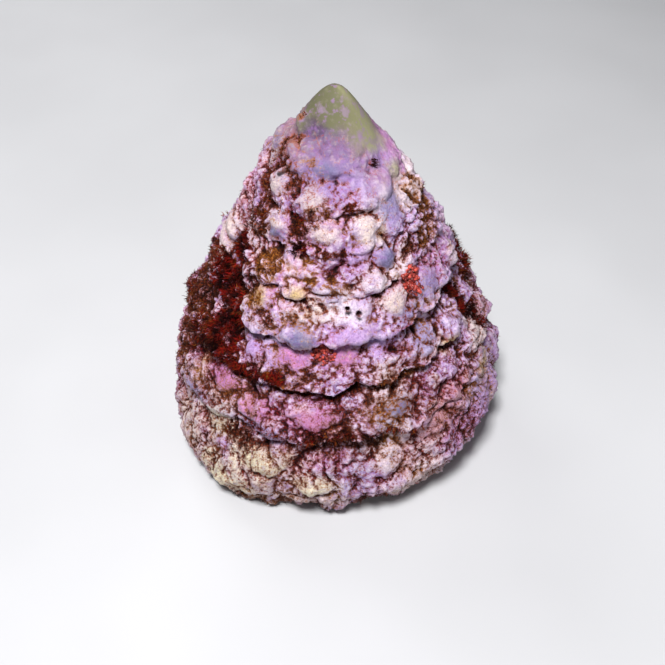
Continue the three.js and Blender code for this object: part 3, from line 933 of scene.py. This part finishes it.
def crust_relief(points):
    """Height of the swellings, cobbles, beads, grit and knobs, less the pinholes and the foot's taper."""
    height = points[:, 2]
    upper = smoothstep(height, *UPPER_RAMP)
    beaded = smoothstep(smooth_noise(points, BEADED["cell"], BEADED["seed"]), *BEADED["ramp"])
    drawn_out = points.copy()
    drawn_out[:, 2] = np.where(height < DRAWN_BELOW, lerp(DRAWN_BELOW, height, DRAWN_SHARE), height)
    bent = warped(drawn_out, COBBLE_WARP)
    raised = SWELLS["height"] * swells(bent, SWELLS)
    raised += COBBLES["height"] * (1 - beaded) * faded(upper, COBBLES["upper_loss"]) * cobbles(bent, COBBLES)
    beads = cobbles(warped(bent, BEAD_WARP), BEADS)
    raised += BEADS["height"] * lerp(BEADS["least"], 1, beaded) * faded(upper, BEADS["upper_loss"]) * beads
    raised += GRIT["height"] * swells(points, GRIT)
    knob_height, on_knob = knobs(points)
    calm = faded(on_knob, KNOB_CALM) * faded(plate_share(points), PLATE_CALM)
    raised = raised * calm + KNOB_RISE * knob_height
    raised -= PINHOLE_DEPTH * pinhole_share(points, PINHOLE_SLOPE)
    raised -= FOOT_TAPER["depth"] * (1 - smoothstep(height, *FOOT_TAPER["ramp"]))
    return raised + FOOT_SWELL["depth"] * spot(FOOT_SWELL, growth_angle(points), height)


def grow_crust(net):
    """Rounds the ledges, then raises swellings, beads and knobs on the net."""
    round_edges(net)
    net.points = net.smoothed(net.points, LAST_ROUNDING_PASSES)
    raised = crust_cover(net) * crust_relief(net.points)
    net.points = net.points + net.normals() * raised[:, None]
    net.points[:, 2] = np.maximum(net.points[:, 2], 0)


def linear(colour):
    """A colour as it is seen on screen, turned into linear values by the usual screen formula."""
    seen = np.asarray(colour, float)
    return np.where(seen <= 0.04045, seen / 12.92, ((seen + 0.055) / 1.055) ** 2.4)


def patch(points, ragged, angle, height, half_angle, half_height, solid=TURF_SOLID):
    """1 inside a patch with a ragged border, 0 outside it; solid is the share of it that has no slope."""
    aside = turned(growth_angle(points) - angle) / half_angle
    reach = np.hypot(aside, (points[:, 2] - height) / half_height) + ragged
    return 1 - smoothstep(reach, solid, 2 - solid)


def blended(tint, name, share):
    return lerp(tint, linear(PALETTE[name]), np.clip(share, 0, 1)[:, None])


def crust_tint(points, broad, raised, ragged):
    """Colour of the crust under its film: mottle, a painted highlight where it stands out, and patches."""
    tint = np.tile(linear(PALETTE["lilac"]), (len(points), 1))
    for name, cell, seed, start, share in MOTTLE:
        inside = smoothstep(smooth_noise(points, cell, seed), start, start + MOTTLE_SLOPE)
        tint = blended(tint, name, share * inside)
    # Painted highlight: the tint is paler on bumps and on rims that stand out.
    worn = np.maximum(raised, smoothstep(-broad, *PAINTED_HIGHLIGHT_RAMP))
    tint = blended(tint, "white", PAINTED_HIGHLIGHT_STRENGTH * worn)
    for name, *place in PATCHES:
        tint = blended(tint, name, PATCH_STRENGTH * patch(points, ragged, *place, PATCH_SOLID))
    return tint


def painted_tip_shade(points):
    """Painted shade: the share of its colour that the skin keeps, which is less towards the tip."""
    darker = smoothstep(points[:, 2], *PAINTED_TIP_SHADE["ramp"])
    right = spot(TIP_BORDER, growth_angle(points), points[:, 2])
    return lerp(1, lerp(PAINTED_TIP_SHADE["share"], PAINTED_TIP_SHADE["right_share"], right), darker)


def crust_film(points, fine, broad):
    """Film of brown and red growth, partly painted shade in the deepest hollows: most in creases and
    hollows, at the foot and low on the shell.
    """
    height = points[:, 2]
    film = FILM["crease"] * smoothstep(fine, *CREASE_RAMP) + FILM["hollow"] * smoothstep(broad, *HOLLOW_RAMP)
    film = film - FILM["rim"] * smoothstep(-broad, *RIM_RAMP) + layered_noise(points, FILM_NOISE)
    # Film in the deepest hollows: partly brown growth, partly painted shade.
    film = film + FILM["deep"] * smoothstep(broad, *DEEP_FILM_AND_SHADE_RAMP)
    film = film + FILM["foot"] * (1 - smoothstep(height, *FOOT_FILM_RAMP))
    film = film + FILM["low"] * (1 - smoothstep(height, *LOW_FILM_RAMP))
    film = film + FILM["band"] * np.exp(-(((height - FILM_BAND["height"]) / FILM_BAND["half_height"]) ** 2))
    return film - FILM["cleaner"] * spot(CLEANER_SIDE, growth_angle(points), height)


def turf_and_hue(points, broad, raised, ragged):
    """Density of the turf, and hue of the turf and film: -1 ochre, 0 brown, 1 red."""
    hue = HUE["middle"] + smooth_noise(points, HUE["cell"], HUE["seed"])
    hue = hue + HUE["hollow"] * smoothstep(broad, *HUE["ramp"])
    turf = np.zeros(len(points))
    for colour, *place, density in TURF_PATCHES:
        inside = patch(points, ragged, *place)
        turf = np.maximum(turf, density * inside)
        hue = lerp(hue, colour, inside)
    turf = turf * (TURF_MIDDLE + layered_noise(points, TURF_NOISE))
    return turf * faded(raised, TURF_LOSS), hue


def paint(net):
    """Attributes that the crust's material is mixed from, and the density of the turf."""
    points = net.points
    fine = net.hollowness(FINE_PASSES)
    broad = net.hollowness(SHELTER_PASSES)
    ragged = layered_noise(points, PATCH_RAGGED)
    raised = smoothstep(-fine, *BUMP_RAMP) * (1 - smoothstep(broad, *LEVEL_RAMP))
    tip = tip_share(points)
    base = base_share(points)
    pearl = mouth_share(points)
    plates = plate_share(points)
    clean = smoothstep(points[:, 2] - tip_lean(points), *CLEAN_RAMP)
    # The tint takes painted shade towards the tip, less of it on the right.
    tint = blended(crust_tint(points, broad, raised, ragged), "green", tip) * painted_tip_shade(points)[:, None]
    tint = blended(tint, "sand", BASE_STRENGTH * base)
    turf, hue = turf_and_hue(points, broad, raised, ragged)
    film = crust_film(points, fine, broad) * (1 - tip)
    film = film * faded(plates, FILM_LOSS["plates"]) * faded(clean, FILM_LOSS["clean"]) + turf
    film = film * faded(base, FILM_LOSS["base"]) * (1 - pearl)
    even = np.maximum.reduce([tip, EVENNESS["clean"] * clean, EVENNESS["plates"] * plates])
    # Painted shade: near-black colour in the deep hollows under the ledges.
    deep = smoothstep(broad, *PAINTED_SHADE_RAMP) * (1 - base) * (1 - pearl)
    # Painted shade in the pinholes.
    deep = np.maximum(deep, pinhole_share(points, PINHOLE_PAINTED_SHADE))
    turf = np.clip(turf, 0, 1) * (points[:, 2] > TURF_ABOVE)
    marks = {"tint": tint, "film": film, "hue": hue, "tip": tip, "pearl": pearl, "even": even, "deep": deep}
    return marks, turf


def add_node(tree, kind, values=None, **settings):
    """A new node with its settings and its sockets' values."""
    made = tree.nodes.new(kind)
    for name, value in settings.items():
        setattr(made, name, value)
    for socket, value in (values or {}).items():
        made.inputs[socket].default_value = value
    return made


def attribute(tree, name, output="Fac"):
    return add_node(tree, "ShaderNodeAttribute", attribute_name=name).outputs[output]


def textured(tree, kind, cell, output, **values):
    """A texture that is fixed to the object, with cells of that size in millimetres."""
    made = add_node(tree, kind, {"Scale": 1 / (cell * MM), **values})
    place = add_node(tree, "ShaderNodeTexCoord")
    tree.links.new(place.outputs["Object"], made.inputs["Vector"])
    return made.outputs[output]


def noise_node(tree, cell, detail=2.0, rough=0.5):
    return textured(tree, "ShaderNodeTexNoise", cell, "Fac", Detail=detail, Roughness=rough)


def cells_node(tree, cell):
    """Distance to the middle of cells of that size in millimetres."""
    return textured(tree, "ShaderNodeTexVoronoi", cell, "Distance")


def threads_node(tree):
    """Distance from winding threads that are about a cell apart."""
    centred = math_node(tree, "SUBTRACT", noise_node(tree, **THREADS), 0.5)
    return math_node(tree, "ABSOLUTE", centred, 0.0)


def math_node(tree, operation, first, second):
    made = add_node(tree, "ShaderNodeMath", operation=operation)
    for socket, value in zip(made.inputs, (first, second)):
        if isinstance(value, bpy.types.NodeSocket):
            tree.links.new(value, socket)
        else:
            socket.default_value = value
    return made.outputs[0]


def ranged(tree, value, low, high, least=0.0, most=1.0):
    """A value between low and high, turned into one between least and most."""
    made = add_node(tree, "ShaderNodeMapRange", interpolation_type="SMOOTHSTEP")
    for socket, number in (("From Min", low), ("From Max", high), ("To Min", least), ("To Max", most)):
        made.inputs[socket].default_value = number
    tree.links.new(value, made.inputs["Value"])
    return made.outputs["Result"]


def mixed(tree, share, first, second, blend="MIX"):
    """Two colours mixed; each is a socket or a colour as it is seen on screen."""
    made = add_node(tree, "ShaderNodeMix", data_type="RGBA", blend_type=blend)
    factor, _, _, _, _, _, one, two = made.inputs[:8]
    for socket, value in ((factor, share), (one, first), (two, second)):
        if isinstance(value, bpy.types.NodeSocket):
            tree.links.new(value, socket)
        elif isinstance(value, float):
            socket.default_value = value
        else:
            socket.default_value = (*linear(value), 1)
    return made.outputs[2]


def hued(tree, hue, light, colours):
    """Ochre, brown or red by the hue, each from its dark to its light colour."""
    brown, ruby, ochre = (mixed(tree, light, *colours[name]) for name in ("brown", "ruby", "ochre"))
    colour = mixed(tree, ranged(tree, hue, 0, 1), brown, ruby)
    return mixed(tree, ranged(tree, hue, 0, -1), colour, ochre)


def new_material(name):
    made = bpy.data.materials.new(name)
    made.use_nodes = True
    return made, made.node_tree, made.node_tree.nodes["Principled BSDF"]


def bumped(tree, shader, height, bump):
    values = {"Strength": bump["strength"], "Distance": bump["distance"] * MM}
    made = add_node(tree, "ShaderNodeBump", values)
    tree.links.new(height, made.inputs["Height"])
    tree.links.new(made.outputs["Normal"], shader.inputs["Normal"])


def skin_tint(tree, rough_skin, blotch):
    """The painted tint with pale blotches, a violet blush and dark specks."""
    pale = math_node(tree, "MULTIPLY", ranged(tree, blotch, *PALE_RANGE), rough_skin)
    tint = mixed(tree, pale, attribute(tree, "tint", "Color"), PALETTE["cream"])
    tint = mixed(tree, ranged(tree, noise_node(tree, **BLUSH), *BLUSH_RANGE), tint, BLUSH_COLOUR)
    speck = ranged(tree, noise_node(tree, **SPECKS), *SPECK_RANGE)
    return mixed(tree, math_node(tree, "MULTIPLY", speck, rough_skin), tint, SPECK_COLOUR)


def broken_film(tree, rough_skin, grain, blotch):
    """The painted film, broken up by grain, blotches and threads where the skin is rough."""
    uneven = math_node(tree, "ADD", ranged(tree, grain, *FILM_GRAIN), ranged(tree, blotch, *FILM_BLOTCH))
    uneven = math_node(tree, "ADD", uneven, ranged(tree, threads_node(tree), *FILM_THREADS))
    return math_node(tree, "ADD", attribute(tree, "film"), math_node(tree, "MULTIPLY", uneven, rough_skin))


def crust_colour(tree, rough_skin, grain, blotch):
    """Tint under the film, with painted shade in deep grooves and pinholes, and veins on the worn tip."""
    hue = attribute(tree, "hue")
    film = broken_film(tree, rough_skin, grain, blotch)
    halo = mixed(tree, ranged(tree, hue, *HALO_HUE), *HALO_COLOURS)
    stain = hued(tree, hue, ranged(tree, grain, *FLECK_RANGE), FILM_COLOURS)
    colour = mixed(tree, ranged(tree, film, *HALO_RANGE), skin_tint(tree, rough_skin, blotch), halo)
    colour = mixed(tree, ranged(tree, film, *STAIN_RANGE), colour, stain)
    # Painted shade in the deep hollows and pinholes
    colour = mixed(tree, ranged(tree, attribute(tree, "deep"), *PAINTED_SHADE_RANGE), colour, PAINTED_SHADE_COLOUR)
    veins = ranged(tree, noise_node(tree, **VEINS), *VEIN_RANGE)
    veins = math_node(tree, "MULTIPLY", veins, attribute(tree, "tip"))
    return mixed(tree, math_node(tree, "MULTIPLY", veins, VEIN_STRENGTH), colour, VEIN_COLOUR)


def crust_material():
    """Lime crust: mottled tint with a brown and red film in its grooves, worn tip and pearly mouth."""
    made, tree, shader = new_material("crust")
    pearl = attribute(tree, "pearl")
    grain = noise_node(tree, **GRAIN)
    blotch = noise_node(tree, **BLOTCHES)
    rough_skin = ranged(tree, attribute(tree, "even"), *ROUGH_SKIN)
    colour = crust_colour(tree, rough_skin, grain, blotch)
    colour = mixed(tree, pearl, colour, mixed(tree, blotch, *NACRE_COLOURS))
    light = mixed(tree, ranged(tree, grain, *LIGHT_RANGE), *LIGHT_COLOURS)
    colour = mixed(tree, rough_skin, colour, mixed(tree, 1.0, colour, light, "MULTIPLY"))
    tree.links.new(colour, shader.inputs["Base Color"])
    gloss = ranged(tree, pearl, *PEARL_GLOSS)
    dull = math_node(tree, "MULTIPLY", ranged(tree, grain, *CRUST_DULLNESS), gloss)
    tree.links.new(dull, shader.inputs["Roughness"])
    shader.inputs["Specular IOR Level"].default_value = SHEEN
    relief = math_node(tree, "SUBTRACT", grain, cells_node(tree, PIT_CELL))
    bumped(tree, shader, math_node(tree, "MULTIPLY", relief, rough_skin), CRUST_BUMP)
    return made


def turf_material():
    """Filaments of turf, from ochre over brown to dark red, with painted shade at the roots and painted
    light towards some tips.
    """
    made, tree, shader = new_material("turf")
    shade = attribute(tree, "shade")
    colour = hued(tree, attribute(tree, "hue"), shade, TURF_COLOURS)
    mottled = ranged(tree, noise_node(tree, TURF_MOTTLE["cell"]), *TURF_MOTTLE["range"])
    tree.links.new(mixed(tree, mottled, colour, TURF_MOTTLE["colour"]), shader.inputs["Base Color"])
    tree.links.new(ranged(tree, shade, *TURF_DULLNESS), shader.inputs["Roughness"])
    shader.inputs["Specular IOR Level"].default_value = SHEEN
    bumped(tree, shader, noise_node(tree, TURF_BUMP["cell"]), TURF_BUMP)
    return made


def colony_material():
    """Granules of the red colonies, with paler grains among them."""
    made, tree, shader = new_material("colony")
    colour = mixed(tree, attribute(tree, "shade"), *GRANULE_COLOURS)
    pores = ranged(tree, cells_node(tree, PORES["cell"]), *PORES["range"])
    tree.links.new(mixed(tree, pores, PORES["colour"], colour), shader.inputs["Base Color"])
    dull = ranged(tree, noise_node(tree, GRANULE_DULLNESS["cell"]), *GRANULE_DULLNESS["range"])
    tree.links.new(dull, shader.inputs["Roughness"])
    bumped(tree, shader, noise_node(tree, GRANULE_BUMP["cell"], GRANULE_BUMP["detail"]), GRANULE_BUMP)
    return made


def give_attribute(mesh, name, values):
    """Stores one number, or one colour, for each vertex."""
    if values.ndim == 1:
        kind, field = "FLOAT", "value"
    else:
        kind, field = "FLOAT_COLOR", "color"
        values = np.concatenate([values, np.ones((len(values), 1))], axis=1)
    made = mesh.attributes.new(name, kind, "POINT")
    made.data.foreach_set(field, values.astype(np.float32).ravel())


def add_piece(mesh, material):
    """A mesh in the part's frame becomes a piece of the part."""
    mesh.materials.clear()
    mesh.materials.append(material)
    mesh.shade_smooth()
    made = new_object(mesh.name, mesh)
    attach(made, BODY)
    return made


def placed_mesh(name, points, faces):
    """A mesh in the part's frame, from points in millimetres round the coil's axis."""
    mesh = bpy.data.meshes.new(name)
    mesh.from_pydata(((points + AXIS_OFFSET) * MM).tolist(), [], faces.tolist())
    return mesh


def unit(vectors):
    return vectors / np.linalg.norm(vectors, axis=1, keepdims=True)


def scattered(net, density, number, draws):
    """Points, normals and vertex numbers of random places on the net, more where it is dense."""
    area = np.linalg.norm(net.face_normals(), axis=1)
    weight = area * density[net.triangles].mean(axis=1)
    chosen = net.triangles[draws.choice(len(weight), number, p=weight / weight.sum())]
    shares = draws.dirichlet((1, 1, 1), number)
    points = np.einsum("ij,ijk->ik", shares, net.points[chosen])
    normals = np.einsum("ij,ijk->ik", shares, net.normals()[chosen])
    return points, unit(normals), chosen[:, 0]


def filament_faces():
    """Vertex numbers of a filament's faces: a closed root, two rings and a pointed tip."""
    point = 2 * FILAMENT_SIDES
    faces = [(0, 2, 1)]
    for corner in range(FILAMENT_SIDES):
        following = (corner + 1) % FILAMENT_SIDES
        above = following + FILAMENT_SIDES
        faces += [(corner, following, above), (corner, above, corner + FILAMENT_SIDES)]
        faces.append((corner + FILAMENT_SIDES, above, point))
    return np.array(faces)


def filament_points(roots, normals, draws, values):
    """Vertices of filaments that lean with their tuft, bend once and sag."""
    number = len(roots)
    tuft = [smooth_noise(roots, TUFT["cell"], TUFT["lean_seed"] + step) for step in range(3)]
    tuft = np.stack(tuft, axis=1)
    half = draws.uniform(*values["length"], size=(number, 1)) / 2
    first = unit(normals + LOWER_LEAN["tuft"] * tuft + LOWER_LEAN["own"] * draws.normal(size=(number, 3)))
    second = first + UPPER_LEAN["tuft"] * tuft + UPPER_LEAN["own"] * draws.normal(size=(number, 3))
    second = unit(second - np.array([0, 0, UPPER_LEAN["sag"]]))
    middle = roots + first * half
    across = unit(np.cross(first, draws.normal(size=(number, 3))))
    beside = np.cross(first, across)
    rings = []
    for centre, width in ((roots - ROOT_DEPTH * normals, 1), (middle, MIDDLE_WIDTH)):
        for corner in range(FILAMENT_SIDES):
            bend = corner * 2 * math.pi / FILAMENT_SIDES
            aside = math.cos(bend) * across + math.sin(bend) * beside
            rings.append(centre + values["radius"] * width * aside)
    return np.stack([*rings, middle + second * half], axis=1)


def grow_turf(net, hue, density, values):
    """Closed, tapered filaments that lean over the crust, as one mesh."""
    draws = np.random.default_rng(values["seed"])
    number = values["number"]
    roots, normals, corners = scattered(net, density, number, draws)
    points = filament_points(roots, normals, draws, values)
    faces = filament_faces()[None] + points.shape[1] * np.arange(number)[:, None, None]
    mesh = placed_mesh(values["name"], points.reshape(-1, 3), faces.reshape(-1, 3))
    shade = TUFT["shade"] + TUFT["contrast"] * smooth_noise(roots, TUFT["cell"], TUFT["shade_seed"])
    shade = shade + draws.normal(0, TUFT["shade_spread"], number)
    # Painted shade at each filament's root and painted light at its tip.
    painted_shading = np.repeat(FILAMENT_PAINTED_SHADING, (FILAMENT_SIDES, FILAMENT_SIDES, 1))
    give_attribute(mesh, "shade", np.clip(shade[:, None] * painted_shading, 0, 1).ravel())
    own_hue = hue[corners] + draws.normal(0, TUFT["hue_spread"], number)
    give_attribute(mesh, "hue", np.repeat(own_hue, len(painted_shading)))
    return mesh


def ball():
    """Points and faces of a small round ball of radius 1."""
    made = bmesh.new()
    bmesh.ops.create_icosphere(made, subdivisions=2, radius=1)
    points = np.array([vertex.co for vertex in made.verts])
    faces = np.array([[vertex.index for vertex in face.verts] for face in made.faces])
    made.free()
    return points, faces


def grow_colonies(net):
    """Heaped granules of the red colonies, as one mesh."""
    draws = np.random.default_rng(GRANULES["seed"])
    round_points, round_faces = ball()
    outward = np.einsum("ij,ij->i", net.normals()[:, :2], unit(net.points[:, :2]))
    points = []
    shades = []
    for *place, number in COLONIES:
        inside = patch(net.points, 0, *place)
        places, normals, _ = scattered(net, inside * (outward > 0), number, draws)
        sizes = draws.uniform(*GRANULES["radius"], size=(number, 1, 1))
        heap = draws.uniform(*GRANULES["heap"], size=(number, 1))
        squash = draws.uniform(*GRANULES["squash"], size=(number, 1, 3))
        points.append((places + normals * heap)[:, None] + round_points[None] * sizes * squash)
        shades.append(np.repeat(draws.uniform(0, 1, number) ** GRANULES["shade_power"], len(round_points)))
    points = np.concatenate(points)
    faces = round_faces[None] + len(round_points) * np.arange(len(points))[:, None, None]
    mesh = placed_mesh("colonies", points.reshape(-1, 3), faces.reshape(-1, 3))
    give_attribute(mesh, "shade", np.concatenate(shades))
    return mesh


def add_floor():
    """A plain pale floor for the shell to stand on."""
    half = FLOOR["half_width"] * MM
    corners = [(-half, -half, 0), (half, -half, 0), (half, half, 0), (-half, half, 0)]
    mesh = bpy.data.meshes.new("floor")
    mesh.from_pydata(corners, [], [(0, 1, 2, 3)])
    floor = new_object("floor", mesh)
    made, tree, shader = new_material("floor")
    tone = ranged(tree, noise_node(tree, FLOOR["cell"]), *FLOOR["range"])
    tree.links.new(mixed(tree, tone, *FLOOR["colours"]), shader.inputs["Base Color"])
    shader.inputs["Roughness"].default_value = FLOOR["roughness"]
    mesh.materials.append(made)


def aim(made, place, target):
    """Puts a light or a camera at a place and turns it to its target, both in millimetres."""
    made.location = Vector(place) * MM
    made.rotation_euler = (Vector(target) - Vector(place)).to_track_quat("-Z", "Y").to_euler()


def add_lights():
    """Soft light from above and from the sides, and a faint light from all round."""
    world = bpy.data.worlds.new("studio")
    world.use_nodes = True
    background = world.node_tree.nodes["Background"]
    background.inputs["Color"].default_value = WORLD["colour"]
    background.inputs["Strength"].default_value = WORLD["strength"]
    bpy.context.scene.world = world
    for name, place, size, power in LIGHTS:
        lamp = bpy.data.lights.new(name, "AREA")
        lamp.size = size * MM
        lamp.energy = power
        aim(new_object(name, lamp), place, LIGHT_AIM)


def add_camera():
    lens = bpy.data.cameras.new("camera")
    lens.lens = CAMERA["lens"]
    lens.sensor_width = CAMERA["sensor"]
    lens.clip_start = CAMERA["nearest"] * MM
    made = new_object("camera", lens)
    aim(made, CAMERA["place"], CAMERA["aim"])
    bpy.context.scene.camera = made


def add_turf(net, marks, turf):
    """Long red filaments in the turf, and short brown ones wherever the film is thick."""
    material = turf_material()
    hue = marks["hue"]
    red = smoothstep(hue, *RED_RAMP)
    add_piece(grow_turf(net, hue, turf * red, RED_TURF), material)
    brown = smoothstep(marks["film"], *BROWN_RAMP) * (BROWN_LEAST + turf) * faded(red, BROWN_LOSS)
    brown = brown * (net.points[:, 2] > TURF_ABOVE)
    add_piece(grow_turf(net, hue, brown, BROWN_TURF), material)


def build():
    mesh = shell_mesh()
    net = Net(mesh)
    grow_crust(net)
    marks, turf = paint(net)
    mesh.vertices.foreach_set("co", ((net.points + AXIS_OFFSET) * MM).ravel())
    for name, values in marks.items():
        give_attribute(mesh, name, values)
    mesh = thinned(mesh, TRIANGLES_KEPT)
    mesh.name = "shell_crust"
    crust = add_piece(mesh, crust_material())
    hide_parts(NODE)
    add_turf(net, marks, turf)
    add_piece(grow_colonies(net), colony_material())
    add_floor()
    add_lights()
    add_camera()
    bpy.context.scene.view_settings.view_transform = "Standard"


build()
